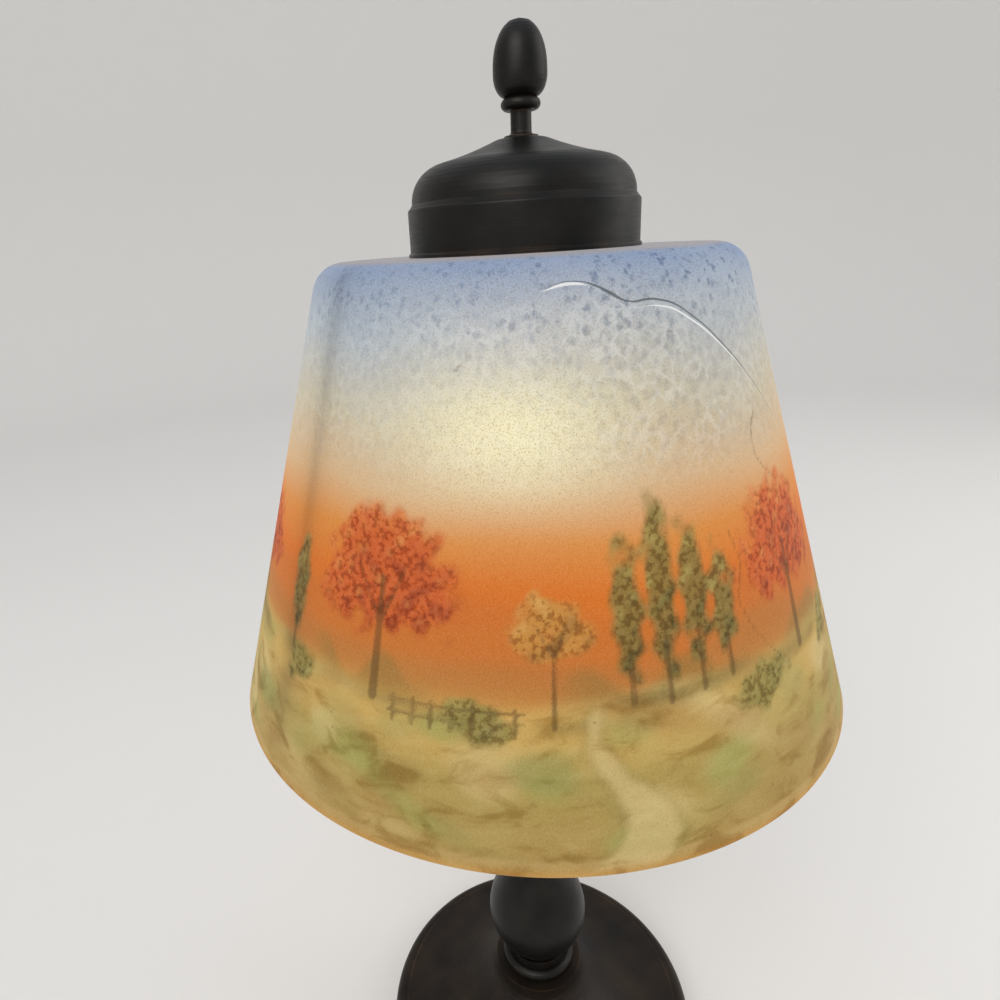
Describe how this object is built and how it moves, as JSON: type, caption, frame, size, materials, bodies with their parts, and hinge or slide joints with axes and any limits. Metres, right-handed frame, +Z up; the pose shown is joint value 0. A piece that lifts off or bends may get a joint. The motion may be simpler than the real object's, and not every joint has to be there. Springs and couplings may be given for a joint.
{
  "type": "table lamp",
  "caption": "Table lamp with a painted frosted glass shade under a domed metal cap, carried by a wire harp over a turn-key socket, on a turned column and weighted base.",
  "frame": {"origin": "on the table at the lamp's axis, under the felt pad", "axes": "+Z up the lamp's axis; X along the harp's plane; -Y towards the switch key"},
  "size_m": [0.199, 0.199, 0.3934],
  "materials": {
    "painted_glass": "frosted outside, painted inside, lit",
    "dark_bronze": "dark bronze patina, satin",
    "base_casting": "dark bronze patina over a casting",
    "brass": "aged brass",
    "contact_bronze": "spring bronze",
    "iron": "raw casting",
    "steel": "plated",
    "felt": "green felt",
    "cork": "cork",
    "porcelain": "unglazed white",
    "fibre": "vulcanised fibre",
    "bakelite": "moulded, glossy",
    "bushing_rubber": "moulded",
    "bulb_glass": "frosted, lit",
    "bulb_metal": "drawn",
    "black_glass": "glossy"
  },
  "bodies": {
    "stand": {"felt_pad": "felt", "base": "base_casting", "base_weight": "iron", "bottom_washer": "steel", "bottom_nut": "brass", "cord_bushing": "bushing_rubber", "lamp_pipe": "brass", "collar_ring": "dark_bronze", "vase": "dark_bronze", "knop": "dark_bronze", "stem": "dark_bronze", "dish": "dark_bronze", "harp_saddle": "brass", "socket_cap": "brass", "socket_set_screw": "steel", "socket_shell": "brass", "socket_liner": "fibre", "switch_body": "porcelain", "terminal_screws": "brass", "switch_blade": "contact_bronze", "centre_contact": "contact_bronze", "screw_shell": "brass"},
    "key": {"key_spindle": "brass", "key_knob": "bakelite", "switch_rotor": "fibre"},
    "bulb": {"bulb_glass": "bulb_glass", "bulb_cap": "bulb_metal", "bulb_insulator": "black_glass", "bulb_contact": "bulb_metal"},
    "harp": {"harp": "brass"},
    "ferrule_left": {"ferrule_left": "brass"},
    "ferrule_right": {"ferrule_right": "brass"},
    "carrier": {"harp_stud": "brass", "shade_ring": "brass", "ring_gasket": "cork", "riser": "brass"},
    "shade": {"shade": "painted_glass"},
    "cap": {"shade_cap": "dark_bronze"},
    "finial": {"finial": "dark_bronze"}
  },
  "joints": [
    {"name": "key_turn", "type": "hinge", "parent": "stand", "child": "key", "pos_m": [0, -0.022, 0.196], "axis": [0, -1, 0], "continuous": true},
    {"name": "bulb_turn", "type": "hinge", "parent": "stand", "child": "bulb", "pos_m": [0, 0, 0.205], "axis": [0, 0, 1], "continuous": true},
    {"name": "harp_lift", "type": "slide", "parent": "stand", "child": "harp", "axis": [0, 0, 1], "range_m": [0, 0.04]},
    {"name": "ferrule_left_slide", "type": "slide", "parent": "harp", "child": "ferrule_left", "axis": [0, 0, 1], "range_m": [0, 0.014]},
    {"name": "ferrule_right_slide", "type": "slide", "parent": "harp", "child": "ferrule_right", "axis": [0, 0, 1], "range_m": [0, 0.014]},
    {"name": "shade_turn", "type": "hinge", "parent": "harp", "child": "carrier", "pos_m": [0, 0, 0.325], "axis": [0, 0, 1], "continuous": true},
    {"name": "shade_lift", "type": "slide", "parent": "carrier", "child": "shade", "axis": [0, 0, 1], "range_m": [0, 0.15]},
    {"name": "cap_lift", "type": "slide", "parent": "shade", "child": "cap", "axis": [0, 0, 1], "range_m": [0, 0.05]},
    {"name": "finial_turn", "type": "hinge", "parent": "cap", "child": "finial", "pos_m": [0, 0, 0.3642], "axis": [0, 0, 1], "continuous": true}
  ]
}
